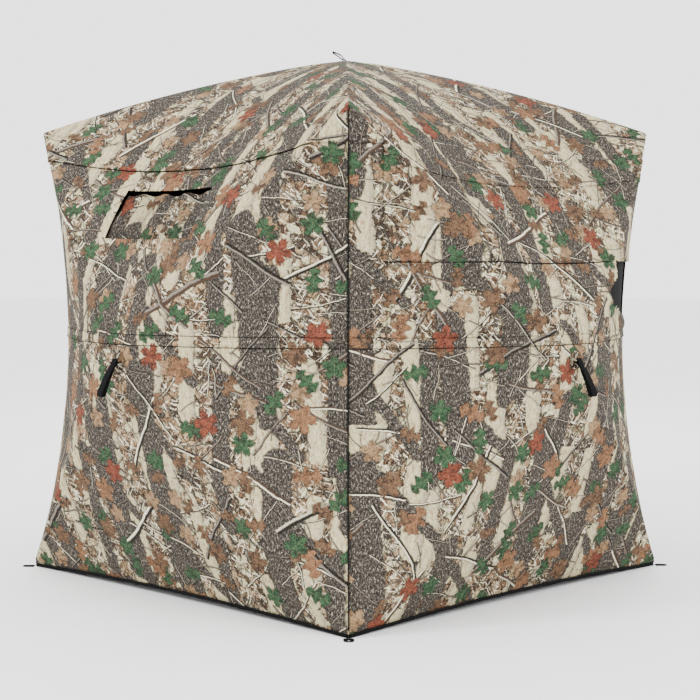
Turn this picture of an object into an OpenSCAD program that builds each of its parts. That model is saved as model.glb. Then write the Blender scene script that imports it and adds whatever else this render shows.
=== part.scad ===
// Pop-up ground blind: a square fabric cabin that five hubs of sprung poles push outward.
// Millimetres. Z is up, and the origin is on the ground under the middle of the cabin.
// The front wall faces -Y, the right wall +X, the back wall +Y and the left wall -X.

/* [Cabin] */
// Half the distance between neighbouring ground corners
foot_half = 750; // [700:5:800]
// Half the distance between neighbouring roof corners
eave_half = 718; // [680:2:760]
// Height of the roof corners
eave_z = 1470; // [1400:5:1550]
// Height of the roof fabric at its hub
apex_z = 1700; // [1650:5:1780]
// Height of the wall hubs
hub_z = 750; // [700:5:800]
// Distance from the cabin's axis to the wall fabric at a hub
hub_out = 962; // [930:2:1000]

/* [Fabric] */
// Thickness of the shell's solids
fabric_t = 2; // [1:0.5:3]
// How far a corner edge is pulled in at half height, along the diagonal
corner_bow = 110; // [60:5:130]
// How far an eave is pulled in and down at its middle
eave_bow = 110; // [60:5:130]
// How high the hem lifts off the ground between two corners
hem_lift = 18; // [5:1:40]
// How far the poles press each ridge outward at its middle
ridge_bow = 20; // [5:1:30]
// Height of the ground hem
hem_h = 10; // [6:1:16]
// Thickness of the ground hem
hem_t = 4; // [2:0.5:6]

/* [Poles] */
// Diameter of a fibreglass rod
rod_d = 9.5; // [8:0.5:11]
// How far a rod bends outward at its middle
rod_bow = 16; // [8:1:20]
// Inset of a pole's tip from the corner it holds, across the wall
tip_inset = 52; // [50:1:70]
// Gap between the fabric and the middle of a pole's tip
tip_depth = 14; // [12:1:20]

/* [Hubs] */
// Radius of the moulded hub
hub_r = 60; // [56:1:66]
// Thickness of the moulded hub
hub_t = 22; // [18:1:26]
// Distance from the hub's axis to a pole pin
pin_ring = 49; // [46:1:51]
// Diameter of a pole pin
pin_d = 5; // [4:0.5:6]
// Depth of the pole pins under the fabric
pin_depth = 32; // [30:1:36]
// Radius of the plate outside the fabric
plate_r = 28; // [24:1:32]

/* [Webbing] */
// Width of the pull straps
strap_w = 25; // [20:1:30]
// Length of a wall's pull strap
wall_strap = 118; // [90:1:140]
// Length of the roof's pull strap
roof_strap = 58; // [45:1:80]
// Lean of a wall strap away from the wall
wall_lean = 26; // [10:1:40]
// Lean of the roof strap above the roof
roof_lean = 38; // [20:1:60]
// Width of a stake loop
loop_w = 30; // [24:1:36]
// Radius of the hole for a stake
stake_r = 6; // [5:0.5:8]

/* [Windows and door] */
// Half the width of the small windows
small_half = 208; // [150:2:240]
// Sill height of the small windows
small_low = 1122; // [1110:2:1180]
// Head height of the small windows
small_high = 1300; // [1240:2:1306]
// Half the width of the wide window
wide_half = 600; // [400:10:610]
// Sill height of the wide window
wide_low = 842; // [835:1:900]
// Head height of the wide window
wide_high = 1296; // [1200:2:1300]
// Gap between the shell and each cover that lies over or under it
cover_gap = 3; // [2:0.5:6]

/* [Hidden] */

camo = [0.52, 0.47, 0.37];
camo_dark = [0.36, 0.33, 0.27];
webbing = [0.05, 0.05, 0.05];
moulded = [0.10, 0.10, 0.11];
fibreglass = [0.16, 0.16, 0.15];
steel = [0.62, 0.63, 0.65];
mesh_black = [0.08, 0.09, 0.08];

// Quarter turns that take the front wall to each wall
FRONT = 0;
RIGHT = 1;
BACK = 2;
LEFT = 3;

// Ring m of a face runs from 0 at its hub to 1 at its edge. Ring where the flat patch round a hub ends
flat_m = 0.105;
// Ring of the square hole for the hub plate's spigot
hole_m = 0.024;
// Rings between the flat patch and the edge, and steps on each side of a gore's middle
ring_count = 8;
share_count = 4;
// Grid of the covers, in shares of a face
step = 0.1;
// How quickly the pull of a bowed edge fades towards the hub
sag_power = 2.5;
// Share of each face that its own fabric covers: the rest is the gap at the seams
face_m = 0.9975;
// Half the gap at the seams between the four gores of a face, outside and inside, as shares of the face
seam_m = 0.0008;
seam_in_m = 0.0028;
foot_z = hem_h + 1;
diag = sqrt(0.5);

function mix(a, b, k) = a + (b - a) * k;
function unit(v) = v / norm(v);
function half_at(z) = mix(foot_half, eave_half, z / eave_z);
// Height without sag: q runs from -1 at the hem, through 0 at the hub, to 1 at the eave
function height_at(q) = q < 0 ? mix(hub_z, foot_z, -q) : mix(hub_z, eave_z, q);
// Share of the hub's reach that is left at ring m
function reach(m) = min(1, (1 - m) / (1 - flat_m));
function ridge(m) = 4 * ridge_bow * reach(m) * (1 - reach(m));
// Inward pull of an edge bowed by amount, at ring m and at place e from -1 to 1 along it
function pull(amount, m, e) = amount * (1 - e * e) * pow(m, sag_power);

// A point of the front wall, p from -1 to 1 across it and q from -1 to 1 up it
function wall_point(p, q) =
    let (
        m = max(abs(p), abs(q), 0.0001),
        edge_z = height_at(q / m),
        edge_half = half_at(edge_z),
        on_side = abs(p) >= abs(q),
        side = on_side ? pull(corner_bow * diag, m, q / m) : 0,
        top = !on_side && q > 0 ? pull(eave_bow * diag, m, p / m) : 0,
        bottom = !on_side && q < 0 ? pull(hem_lift, m, p / m) : 0
    )
    [
        p * edge_half - sign(p) * side,
        -(mix(edge_half, hub_out, reach(m)) + ridge(m) - side - top),
        mix(hub_z, edge_z, m) - top + bottom
    ];

// A point of the roof, p from -1 to 1 along X and q from -1 to 1 along Y
function roof_point(p, q) =
    let (
        m = max(abs(p), abs(q), 0.0001),
        along_x = abs(p) >= abs(q),
        sag = pull(eave_bow * diag, m, along_x ? q / m : p / m)
    )
    [
        p * eave_half - (along_x ? sign(p) * sag : 0),
        q * eave_half - (along_x ? 0 : sign(q) * sag),
        mix(eave_z, apex_z, reach(m)) + ridge(m) - sag
    ];

// Either face moved off its own surface, outward when off is positive
probe = 0.004;
function face_point(on_roof, p, q) = on_roof ? roof_point(p, q) : wall_point(p, q);
function face_normal(on_roof, p, q) = unit(cross(
    face_point(on_roof, p + probe, q) - face_point(on_roof, p - probe, q),
    face_point(on_roof, p, q + probe) - face_point(on_roof, p, q - probe)
));
function skin(on_roof, p, q, off) = face_point(on_roof, p, q) + off * face_normal(on_roof, p, q);

// Closed solid between two grids of points with the same rows and columns
module sheet(outer, inner) {
    rows = len(outer);
    cols = len(outer[0]);
    count = rows * cols;
    function at(r, c) = r * cols + c;
    // Cells on either side of the middle are split along the poles
    function rising(c) = 2 * c + 2 > cols;
    function cell(a, b, c, d, up) = up ? [[a, c, b], [a, d, c]] : [[a, d, b], [b, d, c]];
    function flip(face) = [face[2] + count, face[1] + count, face[0] + count];
    front = [
        for (r = [0 : rows - 2], c = [0 : cols - 2])
        each cell(at(r, c), at(r, c + 1), at(r + 1, c + 1), at(r + 1, c), rising(c))
    ];
    rim = [
        for (c = [0 : cols - 2])
        each [
            [at(0, c), at(0, c + 1), at(0, c + 1) + count],
            [at(0, c), at(0, c + 1) + count, at(0, c) + count],
            [at(rows - 1, c + 1), at(rows - 1, c), at(rows - 1, c) + count],
            [at(rows - 1, c + 1), at(rows - 1, c) + count, at(rows - 1, c + 1) + count]
        ],
        for (r = [0 : rows - 2])
        each [
            [at(r + 1, 0), at(r, 0), at(r, 0) + count],
            [at(r + 1, 0), at(r, 0) + count, at(r + 1, 0) + count],
            [at(r, cols - 1), at(r + 1, cols - 1), at(r + 1, cols - 1) + count],
            [at(r, cols - 1), at(r + 1, cols - 1) + count, at(r, cols - 1) + count]
        ]
    ];
    polyhedron(
        points = concat([for (row = outer) each row], [for (row = inner) each row]),
        faces = concat(front, [for (face = front) flip(face)], rim),
        convexity = 6
    );
}

// Patch of a wall from p0 to p1 and q0 to q1, lying from off to off + thick outside it
module patch(p0, p1, q0, q1, off, thick) {
    ps = [for (k = [0 : round((p1 - p0) / step)]) p0 + k * step];
    qs = [for (k = [0 : round((q1 - q0) / step)]) q0 + k * step];
    sheet(
        [for (q = qs) [for (p = ps) skin(false, p, q, off + thick)]],
        [for (q = qs) [for (p = ps) skin(false, p, q, off)]]
    );
}

// The triangle of a face between its hub and one edge: side 0 is towards +X, 1 up, 2 towards -X, 3 down
module gore(on_roof, side) {
    rings = [hole_m, for (k = [0 : ring_count]) mix(flat_m, face_m, k / ring_count)];
    shares = [for (k = [-share_count : share_count]) k / share_count];
    function placed(m, b) = [[m, -b], [b, m], [-m, b], [-b, -m]][side];
    function at(m, e, seam, off) =
        let (s = placed(m, e * (m - seam)))
        skin(on_roof, s.x, s.y, off);
    sheet(
        [for (m = rings) [for (e = shares) at(m, e, seam_m, 0)]],
        [for (m = rings) [for (e = shares) at(m, e, seam_in_m, -fabric_t)]]
    );
}

module on_wall(turn) {
    rotate([0, 0, 90 * turn]) children();
}

// Hub frame: Z points outward from the fabric, Y up the wall, and the origin is on the fabric
module at_wall_hub() {
    translate([0, -hub_out, hub_z]) rotate([90, 0, 0]) children();
}

module at_roof_hub() {
    translate([0, 0, apex_z]) children();
}

module wall_shell() {
    color(camo)
    difference() {
        for (side = [0 : 3])
        gore(false, side);
        children();
    }
}

// Prism through a wall: the outline's X runs across the wall and its Y up it
module wall_cut() {
    rotate([90, 0, 0])
    linear_extrude(height = 1.2 * hub_out)
    children();
}

module window_cut(half, low, high) {
    wall_cut()
    translate([-half, low])
    square([2 * half, high - low]);
}

module front_fabric() {
    on_wall(FRONT)
    wall_shell()
    window_cut(small_half, small_low, small_high);
}

module left_fabric() {
    on_wall(LEFT)
    wall_shell()
    window_cut(small_half, small_low, small_high);
}

module right_fabric() {
    on_wall(RIGHT)
    wall_shell()
    window_cut(wide_half, wide_low, wide_high);
}

// The door fills the side triangle of the back wall, left of the hub as seen from outside
door_near = 0.2;
door_far = 0.88;
door_edge = 0.065;
// The doorway under the door: distances from the wall's middle, and half its height at each end
way_near = 195;
way_far = 560;
way_near_half = 60;
way_far_half = 430;
module back_fabric() {
    on_wall(BACK)
    wall_shell()
    wall_cut()
    polygon([
        [-way_near, hub_z - way_near_half], [-way_near, hub_z + way_near_half],
        [-way_far, hub_z + way_far_half], [-way_far, hub_z - way_far_half]
    ]);
}

module roof_fabric() {
    color(camo)
    for (side = [0 : 3])
    gore(true, side);
}

// A hem strip along the foot of each wall, arched with the fabric above it
module ground_hem() {
    reach_x = foot_half - hem_t - 1;
    function hem_point(e, z, y) = [e * reach_x, -y, z + hem_lift * (1 - e * e)];
    stations = [for (k = [-10 : 10]) k / 10];
    color(webbing)
    for (turn = [FRONT : LEFT])
    on_wall(turn)
    sheet(
        [for (z = [0, hem_h]) [for (e = stations) hem_point(e, z, foot_half)]],
        [for (z = [0, hem_h]) [for (e = stations) hem_point(e, z, foot_half - hem_t)]]
    );
}

// Webbing tabs that lie on the ground outside each corner, with a hole for a stake
loop_t = 2.5;
loop_start = foot_half / diag + 3;
loop_len = 40;
module stake_loops() {
    color(webbing)
    for (turn = [FRONT : LEFT])
    rotate([0, 0, 90 * turn - 45])
    difference() {
        union() {
            translate([loop_start, -loop_w / 2, 0])
            cube([loop_len - loop_w / 2, loop_w, loop_t]);
            translate([loop_start + loop_len - loop_w / 2, 0, 0])
            cylinder(d = loop_w, h = loop_t, $fn = 64);
        }
        translate([loop_start + loop_len - loop_w / 2, 0, -1])
        cylinder(r = stake_r, h = loop_t + 2, $fn = 48);
    }
}

// Pegs sewn into the corners, which the pole tips bear against when the hubs are out
anchor_r = 6;
module corner_pegs(inset, low, high, half) {
    for (turn = [FRONT : LEFT])
    rotate([0, 0, 90 * turn])
    translate([half - inset, inset - half, low])
    cylinder(r = anchor_r, h = high - low, $fn = 32);
}

// Inset and heights of the pegs at the ground, and of those under the roof corners
ground_peg_in = 23;
ground_peg_low = 3;
ground_peg_high = 32;
roof_peg_in = 24;
roof_peg_drop = 20;
roof_peg_len = 26;

module ground_anchors() {
    color(moulded)
    corner_pegs(ground_peg_in, ground_peg_low, ground_peg_high, foot_half);
}

module roof_anchors() {
    top = eave_z - roof_peg_drop;
    color(moulded)
    corner_pegs(roof_peg_in, top - roof_peg_len, top, eave_half);
}

// Thickness of the covers, the flap, the door and the zip tapes
cover_t = 1.5;
mesh_t = 1;
// The flap hangs over the lower cover, so it lies further out
flap_gap = cover_gap + 2.5;

// Inner covers of the small windows
module small_cover() {
    color(camo_dark)
    patch(-0.3, 0.3, 0.5, 0.9, -fabric_t - cover_gap - cover_t, cover_t);
}

module front_window_cover() {
    on_wall(FRONT) small_cover();
}

module left_window_cover() {
    on_wall(LEFT) small_cover();
}

module right_window_mesh() {
    color(mesh_black)
    on_wall(RIGHT)
    patch(-0.9, 0.9, 0.1, 0.9, -fabric_t - cover_gap - mesh_t, mesh_t);
}

module right_lower_cover() {
    color(camo)
    on_wall(RIGHT)
    patch(-0.9, 0.7, 0.1, 0.4, cover_gap, cover_t);
}

module right_upper_flap() {
    color(camo)
    on_wall(RIGHT)
    patch(-0.9, 0.9, 0.4, 0.9, flap_gap, cover_t);
}

// A point of the door's triangle: ring m, at height share e of the ring
function door_skin(m, e, off) = skin(false, -m, e * (m - door_edge), off);

module back_door() {
    rings = [for (k = [0 : 8]) mix(door_near, door_far, k / 8)];
    shares = [for (k = [-8 : 8]) k / 8];
    color(camo)
    on_wall(BACK)
    sheet(
        [for (m = rings) [for (e = shares) door_skin(m, e, cover_gap + cover_t)]],
        [for (m = rings) [for (e = shares) door_skin(m, e, cover_gap)]]
    );
}

// Zip tapes beside the two slanted edges of the door
zip_near = 0.045;
zip_far = 0.03;
module door_zips() {
    rings = [for (k = [0 : 8]) mix(door_near, door_far, k / 8)];
    function zip_point(m, edge, side, off) = skin(false, -m, side * (m - edge), off);
    color(webbing)
    on_wall(BACK)
    for (side = [-1, 1])
    sheet(
        [for (m = rings) [for (k = [0, 1]) zip_point(m, zip_edge(k, side), side, cover_gap + cover_t)]],
        [for (m = rings) [for (k = [0, 1]) zip_point(m, zip_edge(k, side), side, cover_gap)]]
    );
    function zip_edge(k, side) = (k == 0) == (side > 0) ? zip_near : zip_far;
}

// A slider rides each tape; its travel is the straight line between two points of the tape
slider_out = 0.84;
slider_in = 0.54;
slider_off = 9.8;
function tape_q(m, side) = side * (m - (zip_near + zip_far) / 2);
function slider_point(m, side) = skin(false, -m, tape_q(m, side), slider_off);

slider_body = [14, 9, 4.4];
slider_post = [4, 4, 2];
pull_tab = [30, 7, 1.8];
tab_lift = 2.8;
module zip_slider(side) {
    from = slider_point(slider_out, side);
    to = slider_point(slider_in, side);
    ahead = unit(to - from);
    out = unit(cross(cross(ahead, face_normal(false, -slider_out, tape_q(slider_out, side))), ahead));
    across = cross(out, ahead);
    color(steel)
    on_wall(BACK)
    multmatrix([
        [ahead.x, across.x, out.x, from.x],
        [ahead.y, across.y, out.y, from.y],
        [ahead.z, across.z, out.z, from.z],
        [0, 0, 0, 1]
    ]) {
        cube(slider_body, center = true);
        translate([-pull_tab.x - slider_post.x, -pull_tab.y / 2, tab_lift])
        cube(pull_tab);
        translate([-slider_body.x / 2 + 1, -slider_post.y / 2, slider_post.z])
        cube(slider_post);
    }
}

module upper_zip_slider() { zip_slider(1); }
module lower_zip_slider() { zip_slider(-1); }

// Tip of the pole of the front wall towards the corner at sx and sz, both -1 or 1
function tip_share() = 1 - tip_inset / foot_half;
function wall_tip(sx, sz) = skin(false, sx * tip_share(), sz * tip_share(), -tip_depth);
function roof_tip(sx, sy) = skin(true, sx * tip_share(), sy * tip_share(), -tip_depth);

// The same tips in the hub frame
function wall_tip_in_hub(sx, sz) =
    let (t = wall_tip(sx, sz)) [t.x, t.z - hub_z, -t.y - hub_out];
function roof_tip_in_hub(sx, sy) =
    let (t = roof_tip(sx, sy)) [t.x, t.y, t.z - apex_z];
function flat_dir(tip) = unit([tip.x, tip.y, 0]);
function pin_point(tip) = pin_ring * flat_dir(tip) - [0, 0, pin_depth];

// Takes X along the line from pin to tip, Y along the pin and Z to the outward side
module pole_frame(tip) {
    start = pin_point(tip);
    ahead = unit(tip - start);
    pin = cross([0, 0, 1], flat_dir(tip));
    out = cross(ahead, pin);
    multmatrix([
        [ahead.x, pin.x, out.x, start.x],
        [ahead.y, pin.y, out.y, start.y],
        [ahead.z, pin.z, out.z, start.z],
        [0, 0, 0, 1]
    ])
    children();
}

rod_r = rod_d / 2;
sleeve_r = 7;
sleeve_bore = rod_r + 0.25;
sleeve_from = 15;
sleeve_to = 58;
eye_r = 6;
eye_w = 12;
running_gap = 0.06;
cap_len = 26;

// One pole: a steel end fitting with its eye, a bent rod and a moulded tip
module pole(tip) {
    length = norm(tip - pin_point(tip));
    bend_r = (length * length / 4 + rod_bow * rod_bow) / (2 * rod_bow);
    half_angle = asin(length / 2 / bend_r);
    start_gap = asin((sleeve_from + 3) / bend_r);
    end_gap = asin(3 / bend_r);
    pole_frame(tip) {
        color(steel)
        rotate([0, -half_angle, 0])
        difference() {
            union() {
                rotate([90, 0, 0])
                cylinder(r = eye_r, h = eye_w, center = true, $fn = 48);
                translate([0, -eye_w / 2 + 2, -4.5])
                cube([sleeve_from + 3, eye_w - 4, 9]);
                translate([sleeve_from, 0, 0])
                rotate([0, 90, 0])
                cylinder(r = sleeve_r, h = sleeve_to - sleeve_from, $fn = 48);
            }
            rotate([90, 0, 0])
            cylinder(r = pin_d / 2 + running_gap, h = 2 * eye_w, center = true, $fn = 48);
            translate([sleeve_from + 2.5, 0, 0])
            rotate([0, 90, 0])
            cylinder(r = sleeve_bore, h = sleeve_to, $fn = 48);
        }
        color(fibreglass)
        translate([length / 2, 0, rod_bow - bend_r])
        rotate([90, 0, 0])
        rotate([0, 0, 90 - half_angle + end_gap])
        rotate_extrude(angle = 2 * half_angle - start_gap - end_gap, $fn = 720)
        translate([bend_r, 0])
        circle(r = rod_r, $fn = 32);
        color(moulded)
        translate([length, 0, 0])
        rotate([0, half_angle, 0])
        rotate([0, -90, 0])
        difference() {
            cylinder(r = sleeve_r, h = cap_len, $fn = 48);
            translate([0, 0, 2.5])
            cylinder(r = sleeve_bore, h = cap_len, $fn = 48);
        }
    }
}

// Moulded hub with a slot and a pin bore for each pole, in the hub frame
slot_w = eye_w + 0.8;
slot_from = pin_ring - 11;
boss_r = 22;
stud_r = 5;
module hub_body(tips) {
    color(moulded)
    difference() {
        union() {
            translate([0, 0, -pin_depth - hub_t / 2])
            cylinder(r = hub_r, h = hub_t, $fn = 96);
            translate([0, 0, -pin_depth])
            cylinder(r = boss_r, h = pin_depth - fabric_t - 0.5, $fn = 64);
        }
        translate([0, 0, -pin_depth - hub_t])
        cylinder(r = stud_r + 0.1, h = 3 * hub_t, $fn = 48);
        for (tip = tips)
        rotate([0, 0, atan2(tip.y, tip.x)]) {
            translate([slot_from, -slot_w / 2, -pin_depth - hub_t])
            cube([hub_r, slot_w, 2 * hub_t]);
            translate([pin_ring, 0, -pin_depth])
            rotate([90, 0, 0])
            cylinder(d = pin_d + 0.06, h = 34, center = true, $fn = 48);
        }
    }
}

// Four steel pins across the slots
module hub_pins(tips) {
    color(steel)
    for (tip = tips)
    rotate([0, 0, atan2(tip.y, tip.x)])
    translate([pin_ring, 0, -pin_depth])
    rotate([90, 0, 0])
    cylinder(d = pin_d, h = 28, center = true, $fn = 48);
}

// Plate outside the fabric: its stud runs through the hub, and its bar carries the pull strap
bar_z = 10;
bar_r = 2.5;
plate_t = 3;
plate_lift = 0.5;
lug_t = 4;
lug_w = 8;
spigot_r = 15;
module hub_plate() {
    lug_x = strap_w / 2 + 1.5;
    color(moulded)
    union() {
        translate([0, 0, plate_lift])
        cylinder(r = plate_r, h = plate_t, $fn = 64);
        translate([0, 0, -fabric_t])
        cylinder(r = spigot_r, h = fabric_t + 1, $fn = 64);
        translate([0, 0, -pin_depth - hub_t / 2])
        cylinder(r = stud_r, h = pin_depth + hub_t / 2 + 1, $fn = 48);
        for (side = [-1, 1])
        translate([side * (lug_x + lug_t / 2) - lug_t / 2, -lug_w / 2, 1])
        cube([lug_t, lug_w, bar_z + bar_r]);
        translate([-lug_x - 1, 0, bar_z])
        rotate([0, 90, 0])
        cylinder(r = bar_r, h = 2 * lug_x + 2, $fn = 32);
    }
}

// Loop of webbing round the plate's bar, in the hub frame, leaning off the fabric
loop_out_r = 5.5;
loop_in_r = 3.5;
module strap(length, lean) {
    module stadium(r) {
        circle(r = r, $fn = 48);
        translate([length - loop_out_r, 0]) circle(r = r, $fn = 48);
        translate([0, -r]) square([length - loop_out_r, 2 * r]);
    }
    color(webbing)
    translate([0, 0, bar_z])
    rotate([-lean, 0, 0])
    rotate([0, 0, -90])
    rotate([90, 0, 0])
    translate([0, 0, -strap_w / 2])
    linear_extrude(height = strap_w)
    difference() {
        stadium(loop_out_r);
        stadium(loop_in_r);
    }
}

corners = [[1, 1], [-1, 1], [-1, -1], [1, -1]];
wall_tips = [for (c = corners) wall_tip_in_hub(c.x, c.y)];
roof_tips = [for (c = corners) roof_tip_in_hub(c.x, c.y)];

module wall_hub(turn) { on_wall(turn) at_wall_hub() hub_body(wall_tips); }
module wall_plate(turn) { on_wall(turn) at_wall_hub() hub_plate(); }
module wall_pins(turn) { on_wall(turn) at_wall_hub() hub_pins(wall_tips); }
module wall_strap_at(turn) { on_wall(turn) at_wall_hub() strap(wall_strap, wall_lean); }
module wall_pole(turn, k) { on_wall(turn) at_wall_hub() pole(wall_tips[k]); }
module roof_pole(k) { at_roof_hub() pole(roof_tips[k]); }

module roof_hub() { at_roof_hub() hub_body(roof_tips); }
module front_hub() { wall_hub(FRONT); }
module right_hub() { wall_hub(RIGHT); }
module back_hub() { wall_hub(BACK); }
module left_hub() { wall_hub(LEFT); }

module roof_hub_plate() { at_roof_hub() rotate([0, 0, -45]) hub_plate(); }
module front_hub_plate() { wall_plate(FRONT); }
module right_hub_plate() { wall_plate(RIGHT); }
module back_hub_plate() { wall_plate(BACK); }
module left_hub_plate() { wall_plate(LEFT); }

module roof_hub_pins() { at_roof_hub() hub_pins(roof_tips); }
module front_hub_pins() { wall_pins(FRONT); }
module right_hub_pins() { wall_pins(RIGHT); }
module back_hub_pins() { wall_pins(BACK); }
module left_hub_pins() { wall_pins(LEFT); }

module roof_strap() { at_roof_hub() rotate([0, 0, -45]) strap(roof_strap, roof_lean); }
module front_strap() { wall_strap_at(FRONT); }
module right_strap() { wall_strap_at(RIGHT); }
module back_strap() { wall_strap_at(BACK); }
module left_strap() { wall_strap_at(LEFT); }

module roof_pole_back_right() { roof_pole(0); }
module roof_pole_back_left() { roof_pole(1); }
module roof_pole_front_left() { roof_pole(2); }
module roof_pole_front_right() { roof_pole(3); }

module front_pole_upper_right() { wall_pole(FRONT, 0); }
module front_pole_upper_left() { wall_pole(FRONT, 1); }
module front_pole_lower_left() { wall_pole(FRONT, 2); }
module front_pole_lower_right() { wall_pole(FRONT, 3); }
module right_pole_upper_right() { wall_pole(RIGHT, 0); }
module right_pole_upper_left() { wall_pole(RIGHT, 1); }
module right_pole_lower_left() { wall_pole(RIGHT, 2); }
module right_pole_lower_right() { wall_pole(RIGHT, 3); }
module back_pole_upper_right() { wall_pole(BACK, 0); }
module back_pole_upper_left() { wall_pole(BACK, 1); }
module back_pole_lower_left() { wall_pole(BACK, 2); }
module back_pole_lower_right() { wall_pole(BACK, 3); }
module left_pole_upper_right() { wall_pole(LEFT, 0); }
module left_pole_upper_left() { wall_pole(LEFT, 1); }
module left_pole_lower_left() { wall_pole(LEFT, 2); }
module left_pole_lower_right() { wall_pole(LEFT, 3); }

roof_fabric();
front_fabric();
right_fabric();
back_fabric();
left_fabric();
ground_hem();
stake_loops();
ground_anchors();
roof_anchors();
front_window_cover();
left_window_cover();
right_window_mesh();
right_lower_cover();
right_upper_flap();
back_door();
door_zips();
upper_zip_slider();
lower_zip_slider();
roof_hub();
front_hub();
right_hub();
back_hub();
left_hub();
roof_hub_plate();
front_hub_plate();
right_hub_plate();
back_hub_plate();
left_hub_plate();
roof_hub_pins();
front_hub_pins();
right_hub_pins();
back_hub_pins();
left_hub_pins();
roof_strap();
front_strap();
right_strap();
back_strap();
left_strap();
roof_pole_front_left();
roof_pole_front_right();
roof_pole_back_right();
roof_pole_back_left();
front_pole_upper_right();
front_pole_upper_left();
front_pole_lower_left();
front_pole_lower_right();
right_pole_upper_right();
right_pole_upper_left();
right_pole_lower_left();
right_pole_lower_right();
back_pole_upper_right();
back_pole_upper_left();
back_pole_lower_left();
back_pole_lower_right();
left_pole_upper_right();
left_pole_upper_left();
left_pole_lower_left();
left_pole_lower_right();
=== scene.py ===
import math

import bpy
import numpy as np
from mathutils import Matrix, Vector


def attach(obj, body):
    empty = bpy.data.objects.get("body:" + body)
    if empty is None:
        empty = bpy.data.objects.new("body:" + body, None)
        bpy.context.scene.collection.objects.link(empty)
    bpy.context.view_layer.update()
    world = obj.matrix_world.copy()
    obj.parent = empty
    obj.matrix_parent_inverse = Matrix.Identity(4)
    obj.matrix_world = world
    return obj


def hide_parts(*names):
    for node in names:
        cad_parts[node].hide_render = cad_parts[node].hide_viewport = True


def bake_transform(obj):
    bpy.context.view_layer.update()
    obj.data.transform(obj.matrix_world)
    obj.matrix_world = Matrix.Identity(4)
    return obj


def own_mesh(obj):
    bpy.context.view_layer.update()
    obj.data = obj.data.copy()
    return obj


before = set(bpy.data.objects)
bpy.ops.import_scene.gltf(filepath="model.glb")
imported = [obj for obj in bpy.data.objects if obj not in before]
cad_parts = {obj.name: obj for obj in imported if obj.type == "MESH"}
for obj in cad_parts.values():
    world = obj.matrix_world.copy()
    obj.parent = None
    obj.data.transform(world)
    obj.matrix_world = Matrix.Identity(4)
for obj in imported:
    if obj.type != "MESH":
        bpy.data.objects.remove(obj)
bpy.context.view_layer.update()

TAU = 2 * math.pi

# ---------------------------------------------------------------- camera
CAMERA_TURN = math.radians(44.51)
CAMERA_DISTANCE = 5.483
CAMERA_HEIGHT = 1.059
CAMERA_PITCH = math.radians(-3.33)

camera_data = bpy.data.cameras.new("camera")
camera_data.sensor_width = 36
camera_data.lens = 83.1
camera_data.shift_x = 0.0066
camera = bpy.data.objects.new("camera", camera_data)
camera.location = (
    CAMERA_DISTANCE * math.sin(CAMERA_TURN),
    -CAMERA_DISTANCE * math.cos(CAMERA_TURN),
    CAMERA_HEIGHT,
)
camera.rotation_euler = (math.pi / 2 + CAMERA_PITCH, 0, CAMERA_TURN)
bpy.context.scene.collection.objects.link(camera)
bpy.context.scene.camera = camera

# ---------------------------------------------------------------- the shell's surface, in metres
FOOT_HALF, EAVE_HALF, EAVE_Z, APEX_Z = 0.750, 0.718, 1.470, 1.700
HUB_Z, HUB_OUT, FOOT_Z = 0.750, 0.962, 0.011
BOW = 0.110 * math.sqrt(0.5)
HEM_LIFT, RIDGE_BOW, FLAT_M, SAG_POWER = 0.018, 0.020, 0.105, 2.5
WALLS = ("front", "right", "back", "left")
PROBE = 0.004


def mix(a, b, k):
    return a + (b - a) * k


def reach(m):
    return np.minimum(1, (1 - m) / (1 - FLAT_M))


def ridge(m):
    return 4 * RIDGE_BOW * reach(m) * (1 - reach(m))


def pull(amount, m, e):
    return amount * (1 - e * e) * m**SAG_POWER


def ring(p, q):
    return np.maximum(np.maximum(np.abs(p), np.abs(q)), 1e-4)


def wall_point(p, q):
    """The front wall's outer face: p from -1 to 1 across it and q from -1 to 1 up it."""
    m = ring(p, q)
    across, up = p / m, q / m
    edge_z = np.where(up < 0, mix(HUB_Z, FOOT_Z, -up), mix(HUB_Z, EAVE_Z, up))
    half = mix(FOOT_HALF, EAVE_HALF, edge_z / EAVE_Z)
    on_side = np.abs(p) >= np.abs(q)
    side = np.where(on_side, pull(BOW, m, up), 0)
    top = np.where(~on_side & (q > 0), pull(BOW, m, across), 0)
    low = np.where(~on_side & (q < 0), pull(HEM_LIFT, m, across), 0)
    out = mix(half, HUB_OUT, reach(m)) + ridge(m) - side - top
    return np.stack([p * half - np.sign(p) * side, -out, mix(HUB_Z, edge_z, m) - top + low], -1)


def roof_point(p, q):
    """The roof's outer face: p from -1 to 1 along X and q from -1 to 1 along Y."""
    m = ring(p, q)
    on_x = np.abs(p) >= np.abs(q)
    sag = pull(BOW, m, np.where(on_x, q, p) / m)
    return np.stack([
        p * EAVE_HALF - np.where(on_x, np.sign(p) * sag, 0),
        q * EAVE_HALF - np.where(on_x, 0, np.sign(q) * sag),
        mix(EAVE_Z, APEX_Z, reach(m)) + ridge(m) - sag,
    ], -1)


def skin(face, p, q, off):
    """A point of wall_point or roof_point moved outward by off."""
    p, q = np.asarray(p, float), np.asarray(q, float)
    n = np.cross(face(p + PROBE, q) - face(p - PROBE, q), face(p, q + PROBE) - face(p, q - PROBE))
    n /= np.linalg.norm(n, axis=-1, keepdims=True)
    return face(p, q) + np.asarray(off, float)[..., None] * n


def turned(points, wall):
    """Front wall points turned to another wall."""
    a = WALLS.index(wall) * math.pi / 2
    c, s = round(math.cos(a)), round(math.sin(a))
    x, y, z = points[..., 0], points[..., 1], points[..., 2]
    return np.stack([c * x - s * y, s * x + c * y, z], -1)


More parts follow.
